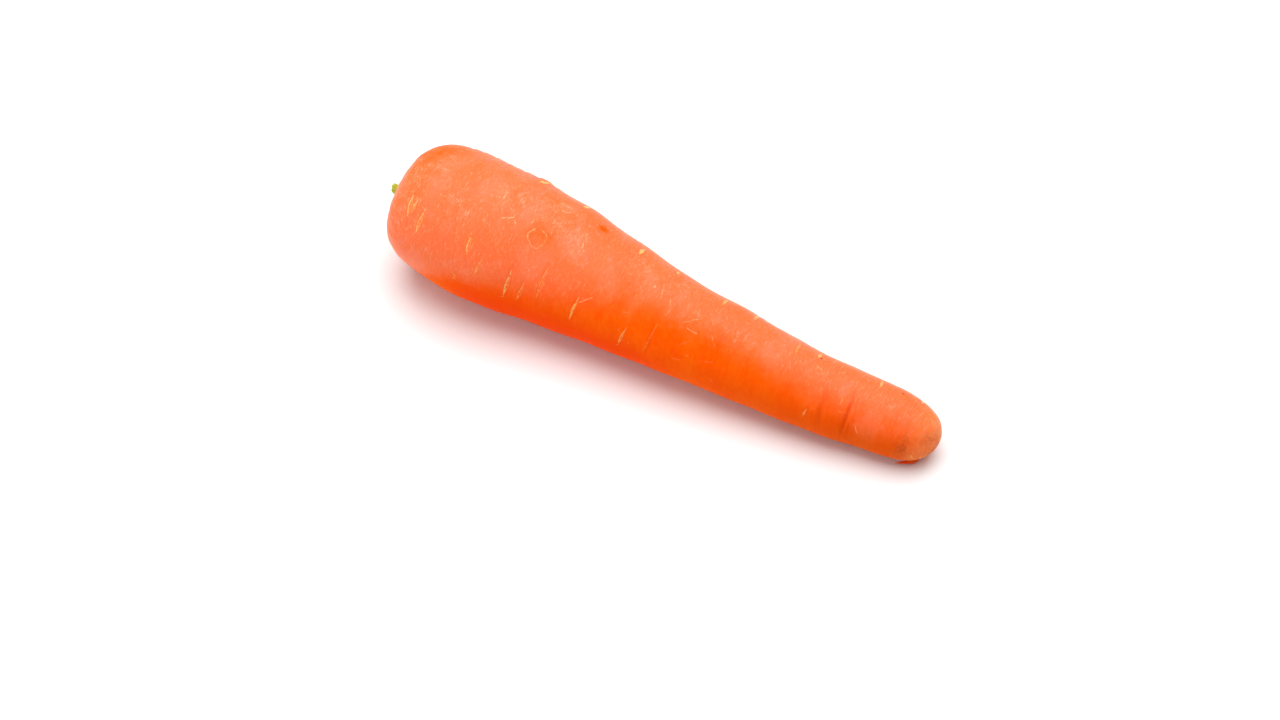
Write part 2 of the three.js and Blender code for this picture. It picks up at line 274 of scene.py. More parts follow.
def spots(places, station, radius, angle):
    """A soft spot from 0 to 1 at each of the places, with its length along and round in mm."""
    mask = np.zeros(np.broadcast(station, angle).shape)
    for at, turn, long, wide in places:
        across = radius * turn_between(angle, math.radians(turn)) / (wide * MM / 2)
        along = (station - at * MM) / (long * MM / 2)
        mask = np.maximum(mask, np.exp(-(along ** 2) - across ** 2))
    return mask


def scar_relief(station, radius, angle):
    """How far the scars' lips stand out and their grooves go in, and the scars' masks."""
    along, off, near, which = near_marks([scar[:4] for scar in SCARS], station, radius, angle)
    width, fill, plain = (np.array(SCARS)[which, column] for column in (4, 5, 6))
    width = width * MM * np.clip(1 - (along / 0.85) ** 2, 0, 1) * (1 + 0.3 * along)
    fill = np.clip(fill + 0.3 * smooth_step(along, 0.3, 0.9), 0, 1)
    near = near * plain
    groove = near * np.exp(-((off / (width + 0.25 * MM)) ** 2))
    lips = near * np.exp(-(((np.abs(off) - width - 0.3 * MM) / (0.25 * MM)) ** 2))
    height = (0.05 * MM + 0.1 * width) * lips - SCAR_DEPTH * (1 - 0.6 * fill) * groove
    masks = {"scar_off": off, "scar_width": width, "scar_near": near, "scar_fill": fill * near}
    return height, masks


def press_rings(height, station, radius, angle):
    """Presses the rings into the height, and returns how much of a crease each point is in."""
    crease = np.zeros(height.shape)
    for at, turn, length, depth, reach in ring_lines(SCARS):
        across = radius * turn_between(angle, math.radians(turn)) / (length * MM / 2)
        along = (station - at * MM) / (reach * MM) - 0.8 * across + 0.2 * np.sin(3 * across + at)
        fading = np.clip(1 - across ** 2, 0, 1)
        line = fading * np.exp(-(along ** 2))
        height -= depth * MM * (line - 0.45 * fading * np.exp(-((along - 1.9) ** 2) / 1.6))
        crease = np.maximum(crease, line * min(1, depth / 0.45))
    return crease


def root_relief(station, radius, angle):
    """How far the skin stands out from the smooth outline, and the masks that the finish uses."""
    size = radius / SHOULDER_RADIUS
    in_mm = station / MM
    height = size * (
        0.25 * np.sin(2 * angle + 0.045 * in_mm + 0.6)
        + 0.15 * np.sin(3 * angle - 0.08 * in_mm)
        + 0.12 * np.sin(0.33 * in_mm + 1.5 * np.cos(angle))
    ) * MM
    at_scars, masks = scar_relief(station, radius, angle)
    height += at_scars
    # For the painted shade in the creases.
    masks["crease"] = press_rings(height, station, radius, angle)
    for at, turn, reach, rise in SWELLINGS:
        height += rise * MM * spots([(at, turn, 2 * reach, 2 * reach)], station, radius, angle)
    masks["scuff"] = spots(SCUFFS, station, radius, angle)
    masks["stain"] = np.max([
        share * spots([place], station, radius, angle) for *place, share in STAINS], axis=0)

    lines = SCRATCHES + drawn_scratches()
    _, off, near, which = near_marks([line[:4] for line in lines], station, radius, angle)
    masks["scratch_off"] = off
    masks["scratch"] = near * np.array(lines)[which, 4]
    return height, masks


def on_axis(station, radius, angle):
    """Points at a distance from the root's axis, before the root is laid down."""
    sideways = np.interp(station, *bend_line.T)
    return np.stack(np.broadcast_arrays(
        station, sideways - radius * np.sin(angle), radius * np.cos(angle)), -1)


LAY = Matrix.Translation((0, 0, axis_height)) @ Matrix.Rotation(TILT, 4, "Y")


def laid_down(points):
    """The same points on the tilted and lifted axis, none of them under the floor."""
    turned = points @ np.array(LAY.to_3x3()).T + LAY.translation
    turned[..., 2] = np.maximum(turned[..., 2], 0)
    return turned


def grain(points, size, stretch=(1, 1, 1), seed=0):
    """Smooth noise between -1 and 1 at each point, with lumps of the given size."""
    scaled = points.reshape(-1, 3) / size / stretch + seed * 17.3
    return np.array([noise.noise(Vector(point)) for point in scaled]).reshape(points.shape[:-1])


def wrinkles(angle, counts):
    """Waves round the axis, between about -1 and 1."""
    return sum(np.sin(count * angle + 5 * draw(count)) for count in counts) / len(counts) ** 0.5


def grid_mesh(name, points, masks, backwards=False):
    """A closed mesh from rings of points. Each end ring is one face. Rings that run outwards
    over a top are taken backwards, so that the faces point out."""
    if backwards:
        points = points[:, ::-1]
        masks = {mask_name: values[:, ::-1] for mask_name, values in masks.items()}
    rings, sides = points.shape[:2]
    corner = np.arange(rings * sides).reshape(rings, sides)
    beside = np.roll(corner, -1, axis=1)
    quads = np.stack([corner[:-1], beside[:-1], beside[1:], corner[1:]], -1).reshape(-1, 4)
    faces = quads.tolist() + [corner[0][::-1].tolist(), corner[-1].tolist()]
    mesh = bpy.data.meshes.new(name)
    mesh.from_pydata(points.reshape(-1, 3).tolist(), [], faces)
    for mask_name, values in masks.items():
        layer = mesh.attributes.new(mask_name, "FLOAT", "POINT")
        layer.data.foreach_set("value", np.ascontiguousarray(values, "f").ravel())
    mesh.shade_smooth()
    thing = bpy.data.objects.new(name, mesh)
    bpy.context.collection.objects.link(thing)
    return thing


run, station, radius, angle = root_grid()
height, masks = root_relief(station, radius, angle)
smooth = on_axis(station, radius, angle)
fade = np.clip(radius / (0.3 * SHOULDER_RADIUS), 0, 1)
height += fade * 0.1 * MM * grain(smooth, 9 * MM, seed=1)
height += fade * 0.035 * MM * grain(smooth, 2.2 * MM, (0.5, 1.6, 1.6), seed=2)
at_rim = smooth_step(run, 9 * MM, 12 * MM) * (1 - smooth_step(run, 15 * MM, 27 * MM))
height -= 0.16 * MM * at_rim * (1 + wrinkles(angle, (9, 14, 23, 31)))
at_tip = smooth_step(station, LENGTH - 3.5 * MM, LENGTH - 0.8 * MM) * fade
height -= 0.12 * MM * at_tip * (1 + wrinkles(angle + 0.3, (7, 11, 16)))
skin_points = laid_down(on_axis(station, np.maximum(radius + height, 0.02 * MM), angle))
skin_low, skin_high = skin_points.min((0, 1)), skin_points.max((0, 1))
box_low, box_high = (np.array(corner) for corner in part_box("root"))
box_fit = (box_high - box_low) / (skin_high - skin_low)


def in_frame(points):
    """Laid-down points moved to where the frame has them."""
    return (points - skin_low) * box_fit + box_low


# The upper side is painted paler with light from above, further down over the shoulder than over
# the neck.
from_top = turn_between(angle, 0)
starts, ends = (np.radians(np.interp(station / MM, PAINTED_LIGHT_STATIONS, degrees))
                for degrees in (PAINTED_LIGHT_STARTS, PAINTED_LIGHT_ENDS))
masks["painted_top_light"] = 1 - np.where(
    from_top > starts, smooth_step(from_top, starts, ends),
    smooth_step(-from_top, BACK_PAINTED_LIGHT_START, BACK_PAINTED_LIGHT_END))
# Less painted light at these patches.
for *place, share in BARE_AND_LESS_PAINTED_LIGHT:
    masks["painted_top_light"] *= 1 - share * spots([place], station, radius, angle)
# Away from the top the colour is earthier towards the tip, partly painted shade, and a deeper
# orange of painted shade low on the sides and under the thick half.
masks["earth_and_painted_shade"] = smooth_step(station, 90 * MM, 180 * MM) * smooth_step(abs(from_top), 0.5, 1.7)
thick_half = smooth_step(station, 22 * MM, 38 * MM) * (1 - smooth_step(station, 88 * MM, 112 * MM))
masks["under"] = thick_half * smooth_step(abs(from_top), 1.2, 1.7)
masks["rim"] = np.broadcast_to(1 - smooth_step(run, 9.8 * MM, 15 * MM), height.shape)
# Painted shade on the floor of the crown's hollow.
masks["hollow"] = np.broadcast_to(1 - smooth_step(run, 9.2 * MM, 10.2 * MM), height.shape)
masks["tip"] = np.broadcast_to(smooth_step(station, LENGTH - 13 * MM, LENGTH), height.shape)
carrot = grid_mesh("root_skin", in_frame(skin_points), masks)


class Wire:
    """A number, colour or vector between the nodes of a material. Sums on it add Math nodes."""

    def __init__(self, tree, socket):
        self.tree = tree
        self.socket = socket

    def node(self, kind, settings, sockets, output=0):
        """Any node of the same material, as the Wire of one of its outputs."""
        made = self.tree.nodes.new(kind)
        for name, value in settings.items():
            setattr(made, name, value)
        for name, value in sockets.items():
            if isinstance(value, Wire):
                self.tree.links.new(value.socket, made.inputs[name])
            else:
                made.inputs[name].default_value = value
        return Wire(self.tree, made.outputs[output])

    def math(self, operation, *values):
        sockets = dict(enumerate(values))
        return self.node("ShaderNodeMath", {"operation": operation}, sockets)

    def __add__(self, other):
        return self.math("ADD", self, other)

    def __sub__(self, other):
        return self.math("SUBTRACT", self, other)

    def __rsub__(self, other):
        return self.math("SUBTRACT", other, self)

    def __mul__(self, other):
        return self.math("MULTIPLY", self, other)

    def __abs__(self):
        return self.math("ABSOLUTE", self)

    __radd__ = __add__
    __rmul__ = __mul__

    def step(self, low, high):
        """0 below low and 1 above high, smooth between. low may be above high."""
        return self.node(
            "ShaderNodeMapRange", {"interpolation_type": "SMOOTHSTEP"},
            {"Value": self, "From Min": low, "From Max": high})

    def most(self, other):
        return self.math("MAXIMUM", self, other)

    def noise(self, size, detail=2, **settings):
        """Noise of features of that size over this vector, about 0 to 1."""
        sockets = {"Vector": self, "Scale": 1 / size, "Detail": detail, **settings}
        return self.node("ShaderNodeTexNoise", {}, sockets)

    def stretched(self, scale):
        """This vector with its features stretched across the carrot's axis."""
        return self.node(
            "ShaderNodeMapping", {}, {"Vector": self, "Rotation": (0, -TILT, 0), "Scale": scale})

    def mask(self, name):
        """A mask that the mesh carries."""
        return self.node("ShaderNodeAttribute", {"attribute_name": name}, {}, output="Fac")

    def distance(self, point):
        """How far this place is from a point."""
        return self.node(
            "ShaderNodeVectorMath", {"operation": "DISTANCE"}, {0: self, 1: tuple(point)},
            output="Value")

    def bump(self, strength, distance):
        """Normals of a surface with this relief."""
        return self.node(
            "ShaderNodeBump", {}, {"Height": self, "Strength": strength, "Distance": distance},
            output="Normal")

    def mixed(self, first, second):
        """first where this mask is 0 and second where it is 1. Both are colours."""
        return self.node(
            "ShaderNodeMix", {"data_type": "RGBA"},
            {0: self, 6: as_colour(first), 7: as_colour(second)}, output=2)


def as_colour(value):
    """A colour socket's value: sRGB bytes as linear light, or a Wire as it is."""
    if isinstance(value, Wire):
        return value
    shares = [byte / 255 for byte in value]
    return (*[s / 12.92 if s < 0.04045 else ((s + 0.055) / 1.055) ** 2.4 for s in shares], 1)


def new_finish(name):
    """A material, its shader node, and the object coordinates to pattern it with."""
    material = bpy.data.materials.new(name)
    material.use_nodes = True
    tree = material.node_tree
    shader = tree.nodes["Principled BSDF"]
    place = Wire(tree, None).node("ShaderNodeTexCoord", {}, {}, output="Object")
    return material, shader, place


def connect(shader, **sockets):
    """Feeds the shader's sockets, whose names have spaces for underscores."""
    for name, value in sockets.items():
        socket = shader.inputs[name.replace("_", " ")]
        if isinstance(value, Wire):
            value.tree.links.new(value.socket, socket)
        else:
            socket.default_value = value


def skin_point(station, angle, lift=0):
    """The place in the frame of a point of the skin, or of one lifted off it."""
    past_rim = outline[RIM_POINT * LINE_STEPS:]
    return in_frame(laid_down(on_axis(station, np.interp(station, *past_rim.T) + lift, angle)))


ROUND_SCUFF = (50.5 * MM, math.radians(19.5), 2.9 * MM)  # station, angle and radius
PITS = [  # small dark holes: place and radius in mm
    (146.2, -24.6, 0.8), (173.8, -29, 0.8), (173.3, 3.4, 0.3), (8.2, 30, 0.4), (32, 39, 0.35),
    (121, 140, 0.6), (60, 232, 0.7),
]

# Colours of the skin, as sRGB bytes
DEEP_ORANGE = (250, 84, 0)
BRIGHT_ORANGE = (254, 99, 5)
# Painted shade away from the top towards the tip, partly a browner tip.
EARTHY_SHADED_ORANGE = (204, 80, 16)
# Painted shade low on the sides of the thick half.
PAINTED_SHADE_ORANGE = (247, 63, 0)
# The next four are painted light on the upper side.
PAINTED_LIGHT_SALMON = (246, 110, 58)
BRIGHTER_PAINTED_LIGHT = (248, 120, 82)
PAINTED_LIGHT_HATCHING = (250, 152, 114)
PAINTED_LIGHT_GRIT = (250, 160, 112)
PORE_ORANGE = (234, 76, 10)
DRY_TIP = (255, 140, 80)
DRY_TIP_HATCHING = (255, 182, 136)
RUBBED_SKIN = (255, 168, 130)
RUBBED_CRUMBS = (255, 208, 166)
SCRATCHED_SKIN = (255, 200, 144)
SCUFF_LINE = (255, 190, 130)
# Painted shade in the creases.
CREASE_SHADE_RED = (206, 62, 6)
STAIN_BROWN = (172, 70, 34)
RIM_BROWN = (226, 120, 66)
RIM_STRAW = (206, 146, 60)
RIM_OLIVE = (170, 156, 72)
# Painted shade in the crown's hollow and the gap round it.
HOLLOW_SHADE_BROWN = (96, 58, 26)
SCAR_HALO = (232, 84, 18)
SCAR_GROOVE = (246, 104, 22)
CORK_YELLOW = (246, 184, 100)
CORK_CREAM = (255, 210, 130)
CORK_SLIT = (212, 116, 48)
PIT_BROWN = (142, 60, 16)


def skin_patterns(place):
    """The noise patterns that the skin's colour, marks and bumps share."""
    return SimpleNamespace(
        patches=place.stretched((1, 0.6, 0.6)).noise(9 * MM, 3),
        streaks=place.stretched((1, 0.16, 0.16)).noise(1 * MM, 3, Roughness=0.6),
        hatch=place.stretched((1, 0.3, 0.3)).noise(0.6 * MM, 2, Roughness=0.7),
        mottle=place.noise(1.7 * MM, 3, Roughness=0.65),
        grit=place.noise(0.55 * MM, 2, Roughness=0.7),
        wander=0.35 * MM * (place.noise(1.6 * MM, 2) - 0.5),
        gaps=place.noise(0.9 * MM, 2).step(0.35, 0.55),
    )


def grown_skin(place, skin):
    """The skin's orange, with painted light on top, painted shade low on its sides and a dried tip,
    and the share of dried skin and painted light.
    """
    earth_and_painted_shade, under, painted_top_light, tip = map(place.mask, ("earth_and_painted_shade", "under", "painted_top_light", "tip"))
    tone = 0.4 * skin.patches + 0.3 * skin.streaks + 0.3 * skin.mottle
    colour = tone.step(0.38, 0.64).mixed(DEEP_ORANGE, BRIGHT_ORANGE)
    # Painted shade away from the top towards the tip, partly a browner tip.
    colour = (earth_and_painted_shade * (0.35 + 0.3 * skin.patches)).mixed(colour, EARTHY_SHADED_ORANGE)
    # Painted shade low on the sides of the thick half.
    colour = (under * (0.6 + 0.4 * skin.patches)).mixed(colour, PAINTED_SHADE_ORANGE)
    dry_and_painted_light = (painted_top_light + 0.35 * (skin.patches - 0.5) + 0.35 * (skin.mottle - 0.5)).step(0.05, 1)
    # Painted light: the top is paler, as lit from above.
    colour = (dry_and_painted_light * 0.92).mixed(colour, PAINTED_LIGHT_SALMON)
    colour = (dry_and_painted_light * skin.patches.step(0.5, 0.66) * 0.6).mixed(colour, BRIGHTER_PAINTED_LIGHT)
    colour = (skin.hatch.step(0.5, 0.76) * dry_and_painted_light * 0.55).mixed(colour, PAINTED_LIGHT_HATCHING)
    colour = (skin.grit.step(0.54, 0.8) * (0.02 + 0.38 * dry_and_painted_light)).mixed(colour, PAINTED_LIGHT_GRIT)
    colour = (skin.grit.step(0.48, 0.2) * 0.4).mixed(colour, PORE_ORANGE)
    colour = (tip * (0.3 + 0.9 * skin.mottle)).mixed(colour, DRY_TIP)
    colour = (skin.hatch.step(0.52, 0.74) * tip * 0.5).mixed(colour, DRY_TIP_HATCHING)
    return colour, dry_and_painted_light


def rubbed_skin(place, skin, colour, dry_and_painted_light):
    """The colour with the rubbed patches, the thin scratches and the round scuff over it."""
    crumbs = place.noise(0.5 * MM, 3, Roughness=0.75, Distortion=1).step(0.56, 0.68)
    scuff = place.mask("scuff") * (0.3 + 0.7 * dry_and_painted_light)
    rubbed = scuff * place.noise(2.2 * MM, 3).step(0.44, 0.6)
    pale = crumbs.most(skin.hatch.step(0.55, 0.7))
    colour = (rubbed * (0.12 + 0.5 * pale)).mixed(colour, RUBBED_SKIN)
    flecks = place.noise(3 * MM, 1).step(0.5, 0.62)
    colour = (scuff * crumbs * flecks * 0.55).mixed(colour, RUBBED_CRUMBS)

    scratch = abs(place.mask("scratch_off") + skin.wander).step(0.22 * MM, 0.07 * MM)
    scratch = scratch * skin.gaps * place.mask("scratch")
    colour = (scratch * 0.8).mixed(colour, SCRATCHED_SKIN)

    station, angle, ring_radius = ROUND_SCUFF
    out_of_round = 3 * MM * (place.noise(3.6 * MM) - 0.5)
    from_middle = place.distance(skin_point(station, angle)) + out_of_round
    ring = abs(from_middle + 1.4 * skin.wander - ring_radius).step(0.26 * MM, 0.06 * MM)
    worn = place.noise(3.1 * MM, 2).step(0.38, 0.54)
    return (ring * worn * (0.2 + 0.8 * skin.gaps) * 0.52).mixed(colour, SCUFF_LINE)


def aged_skin(place, skin, colour):
    """The colour with painted shade in the creases and the crown's hollow, brown stains at the tip
    and an olive rim round the crown.
    """
    crease, tip, stain, rim = map(place.mask, ("crease", "tip", "stain", "rim"))
    # Painted shade in the creases.
    colour = (crease * 0.6).mixed(colour, CREASE_SHADE_RED)
    dark = (0.9 * stain + 0.04 * tip) * place.noise(1.1 * MM, 4, Roughness=0.7).step(0.36, 0.58)
    colour = (dark * 0.7).mixed(colour, STAIN_BROWN)
    edge = rim * (1 + 1.6 * (place.noise(5 * MM, 3) - 0.5) + 0.4 * (skin.mottle - 0.5))
    colour = (edge.step(0.02, 0.5) * 0.5).mixed(colour, RIM_BROWN)
    olive = skin.patches.step(0.42, 0.56).mixed(RIM_STRAW, RIM_OLIVE)
    colour = (edge.step(0.5, 0.85) * (0.6 + 0.5 * skin.mottle)).mixed(colour, olive)
    # Painted shade in the crown's hollow and the gap round it.
    return (place.mask("hollow") * 0.9).mixed(colour, HOLLOW_SHADE_BROWN)


def scarred_skin(place, skin, colour):
    """The colour with the scars and pits over it, and the scars' cork and fine relief."""
    width, near, fill = map(place.mask, ("scar_width", "scar_near", "scar_fill"))
    aside = place.mask("scar_off") + 0.6 * skin.wander
    off = abs(aside)
    halo = (off - width).step(0.8 * MM, 0) * near
    colour = (halo * 0.22).mixed(colour, SCAR_HALO)
    inside = (off - width).step(0.05 * MM, -0.12 * MM) * near
    colour = (inside * 0.3).mixed(colour, SCAR_GROOVE)
    lip = abs(off - width).step(0.27 * MM, 0.07 * MM) * near
    one_side = aside.step(-0.15 * MM, 0.15 * MM).most(fill)
    lip = lip * skin.gaps.step(-0.2, 0.7) * (0.3 + 0.7 * one_side)
    cork = lip.most(inside * fill * skin.gaps.step(-0.6, 0.5))
    pith = (0.6 * skin.hatch + 0.4 * skin.grit).step(0.38, 0.62).mixed(CORK_YELLOW, CORK_CREAM)
    colour = (cork * (0.8 + 0.08 * fill)).mixed(colour, pith)
    slit = abs(aside + 0.5 * skin.wander).step(0.12 * MM, 0.03 * MM) * inside * fill * skin.gaps
    colour = (slit * 0.5).mixed(colour, CORK_SLIT)
    for at, turn, reach in PITS:
        hole = place.distance(skin_point(at * MM, math.radians(turn))) + skin.wander
        colour = (hole.step(reach * MM, 0.4 * reach * MM) * 0.7).mixed(colour, PIT_BROWN)
    return colour, cork, lip - inside * (1 - fill)


def skin_finish():
    """Fresh carrot skin: deep orange with painted light on top and painted shade low on its sides,
    in its creases and round the crown's hollow, mottled and streaked round the root, with rubbed
    patches, cork in the scars, olive at the crown and brown stains at the tip."""
    material, shader, place = new_finish("carrot_skin")
    skin = skin_patterns(place)
    colour, dry_and_painted_light = grown_skin(place, skin)
    colour = rubbed_skin(place, skin, colour, dry_and_painted_light)
    colour = aged_skin(place, skin, colour)
    colour, cork, scar_height = scarred_skin(place, skin, colour)
    fine = skin.streaks + 0.6 * skin.mottle + 0.4 * skin.grit + 0.3 * skin.hatch
    grazing = place.node("ShaderNodeLayerWeight", {}, {}, output="Facing").step(0.45, 0.85)
    connect(
        shader, Base_Color=colour, Normal=(fine + 0.2 * scar_height).bump(0.55, 0.12 * MM),
        Roughness=0.42 + 0.12 * skin.patches + 0.12 * dry_and_painted_light + 0.15 * cork,
        Specular_IOR_Level=0.01, Coat_Weight=(0.3 + 0.6 * grazing) * dry_and_painted_light, Coat_Roughness=0.5,
        Subsurface_Weight=0.35, Subsurface_Radius=(1, 0.3, 0.08), Subsurface_Scale=3 * MM)
    return material


carrot.data.materials.append(skin_finish())
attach(carrot, "root")
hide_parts("root")

# ---------------------------------------------------------------------------------------------
# The crown: the dry corky disc in the hollow at the thick end, where the leaves grew. It is made
# of the crescent bases of fifteen cut leaves round a hollow of brown fibres, with a fringe of
# fine dry strands, and it sits loosely inside the root's rim.
# ---------------------------------------------------------------------------------------------

CROWN_RADIUS = 9.3 * MM
BUD_RADIUS = 4.2 * MM  # green bud in the middle
LEAF_BASES = 15
GOLDEN_ANGLE = math.radians(137.5)  # from one leaf to the next
PIECE_GAP = 0.3 * MM  # between one piece and the next
RIDGE_HEIGHT = 1 * MM
RIDGE_HALF_THICKNESS = 0.55 * MM
RIDGE_HALF_TURN = math.radians(52)
HOLLOW_ANGLE = math.radians(95)  # towards the side where the fibres lie bare
# Flat ends of the last leaves: angle in degrees; distance from the middle, length and width in mm
CUT_LEAVES = [(160, 6.6, 3.6, 2), (312, 7, 2.6, 1.4)]
VEIN_RINGS = 13  # cut ends of veins, which show as small rings
CROWN_RINGS = 150
CROWN_SIDES = 290


def leaf_middle(leaf):
    """How far a leaf's base is from the crown's middle. The first leaf is the outermost."""
    return np.interp(leaf / LEAF_BASES, [0, 1], [CROWN_RADIUS - 1 * MM, BUD_RADIUS + 0.8 * MM])


def leaf_bases(radius, angle):
    """Height of the leaf bases over the crown, and a shade from 0 to 1 for each base."""
    shape = np.broadcast(radius, angle).shape
    height, shade = np.zeros(shape), np.zeros(shape)
    for leaf in range(LEAF_BASES):
        half_turn = RIDGE_HALF_TURN * (0.5 + 0.7 * draw(leaf + 17))
        across = turn_between(angle, leaf * GOLDEN_ANGLE) / half_turn
        middle = leaf_middle(leaf) + 0.45 * MM * np.sin(2.5 * across + 6 * draw(leaf + 23))
        out = (radius - middle) / (RIDGE_HALF_THICKNESS * (0.6 + 0.8 * draw(leaf + 29)))
        rise = RIDGE_HEIGHT * (0.55 + 0.45 * draw(leaf + 37))
        ridge = rise * np.clip(1 - across ** 2, 0, 1) * np.exp(-(out ** 2))
        higher = ridge > height
        height = np.where(higher, ridge, height)
        shade = np.where(higher & (ridge > 0.2 * RIDGE_HEIGHT), draw(leaf + 3), shade)
    return height, shade


def crown_top(radius):
    """The top of the crown, as a station. It dips under the bud and towards its edge."""
    middle = (BUD_RADIUS + CROWN_RADIUS) / 2
    dip = np.clip((radius - middle) / (CROWN_RADIUS - middle), -1, 1)
    return (-0.2 + dip ** 2) * MM


def leaf_end_mask(radius, angle, broken):
    """Where the flat ends of the last leaves are, from 0 to 1."""
    cut = np.zeros(broken.shape)
    for turn, away, length, width in CUT_LEAVES:
        across = turn_between(angle, math.radians(turn)) * radius / (length * MM / 2)
        inward = (radius - away * MM) / (width * MM / 2)
        cut = np.maximum(cut, smooth_step(across ** 2 + inward ** 2 + 0.5 * broken, 1.1, 0.7))
    return cut


def vein_masks(flat):
    """Where the small rings of cut veins are, and the eye in the middle of each."""
    vein, eye = (np.zeros(flat.shape[:2]) for _ in range(2))
    for ring in range(VEIN_RINGS):
        turn = HOLLOW_ANGLE + 0.9 + 4 * draw(ring + 350)
        away = (4.7 + 3.6 * draw(ring + 370)) * MM
        size = (0.28 + 0.16 * draw(ring + 390)) * MM
        apart = np.linalg.norm(flat - away * np.array([math.cos(turn), math.sin(turn), 0]), axis=-1)
        vein = np.maximum(vein, np.exp(-(((apart - size) / (0.13 * MM)) ** 2)))
        eye = np.maximum(eye, 1 - smooth_step(apart, 0.4 * size, 0.8 * size))
    return vein, eye


def crown_mesh():
    """The crown's top from its middle to its edge, and back along the floor of the hollow."""
    angle = ring_angles(CROWN_SIDES)
    radius = np.linspace(0.02 * MM, CROWN_RADIUS, CROWN_RINGS)[:, None]
    ridge, shade = leaf_bases(radius, angle)
    flat = np.stack(np.broadcast_arrays(radius * np.cos(angle), radius * np.sin(angle), 0), -1)
    spokes = np.stack(np.broadcast_arrays(
        13 * np.cos(angle), 13 * np.sin(angle), radius / (2.6 * MM)), -1)
    fibres = grain(spokes + 0.5 * grain(flat, 2 * MM, seed=9)[..., None], 1, seed=5)
    lumps = grain(flat, 0.9 * MM, seed=3)
    crumbs = grain(flat, 0.38 * MM, seed=4)
    broken = grain(flat, 1.7 * MM, seed=8)
    aside = turn_between(angle, HOLLOW_ANGLE) / 1.05
    outward = (radius / MM - 6.3) / 2.2
    bare = smooth_step(np.exp(-(aside ** 2) - outward ** 2) + 0.35 * broken, 0.35, 0.6)
    ridge = ridge * (1 - 0.9 * bare) * np.clip(0.8 + 0.9 * broken, 0.1, 1)
    on_ridge = smooth_step(ridge, 0.15 * RIDGE_HEIGHT, 0.45 * RIDGE_HEIGHT)
    cut = leaf_end_mask(radius, angle, broken)
    vein, eye = (mask * (1 - cut) * (1 - bare) for mask in vein_masks(flat))

    rough = 0.24 * lumps + 0.14 * crumbs + 0.16 * vein - 0.06 * eye
    rough = (1 - bare) * rough + bare * (0.26 * fibres - 0.3)
    rough = (1 - cut) * rough + cut * (0.45 + 0.04 * crumbs)
    edge = 1 - smooth_step(radius, CROWN_RADIUS - 0.5 * MM, CROWN_RADIUS)
    top = on_axis(crown_top(radius) - ridge * (1 - cut) - edge * (rough - 0.1) * MM, radius, angle)

    floor_line = outline[:RIM_POINT * LINE_STEPS]
    floor_radius = np.linspace(CROWN_RADIUS - 0.2 * MM, 0.02 * MM, 5)[:, None]
    floor_station = np.interp(floor_radius, floor_line[:, 1], floor_line[:, 0]) - PIECE_GAP
    bottom = on_axis(floor_station, floor_radius, angle)
    points = in_frame(laid_down(np.concatenate([top, bottom])))
    masks = {"ridge": on_ridge, "shade": shade, "fibres": 0.5 + 0.5 * fibres, "bare": bare,
             "cut": cut, "vein": vein, "eye": eye, "crumbs": 0.5 + 0.5 * crumbs,
             "outward": np.broadcast_to(radius / CROWN_RADIUS, ridge.shape)}
    padding = ((0, len(floor_radius)), (0, 0))
    masks = {name: np.pad(values, padding, "edge") for name, values in masks.items()}
    return grid_mesh("crown_top", points, masks, backwards=True)


# Colours of the crown, as sRGB bytes
CRUMB_BROWN = (134, 84, 40)
CRUMB_TAN = (178, 140, 84)
PALE_CRUMBS = (222, 200, 146)
DARK_CRUMBS = (78, 48, 24)
OLIVE_BASE = (146, 136, 74)
STRAW_BASE = (204, 184, 122)
GREEN_BASE = (160, 170, 78)
BROWN_BLOTCH = (150, 108, 58)
PALE_SPECKS = (234, 220, 168)
DARK_SPECKS = (70, 54, 34)
DARK_FIBRE = (132, 58, 16)
ORANGE_FIBRE = (196, 112, 62)
PALE_FIBRE = (224, 160, 120)
VEIN_YELLOW = (206, 160, 84)
VEIN_EYE = (128, 78, 34)
LEAF_END_EDGE = (206, 176, 140)
LEAF_END_DARK = (146, 126, 104)
LEAF_END_PALE = (192, 174, 148)
# Painted shade at the crown's outer edge.
CROWN_EDGE_SHADE = (96, 62, 28)


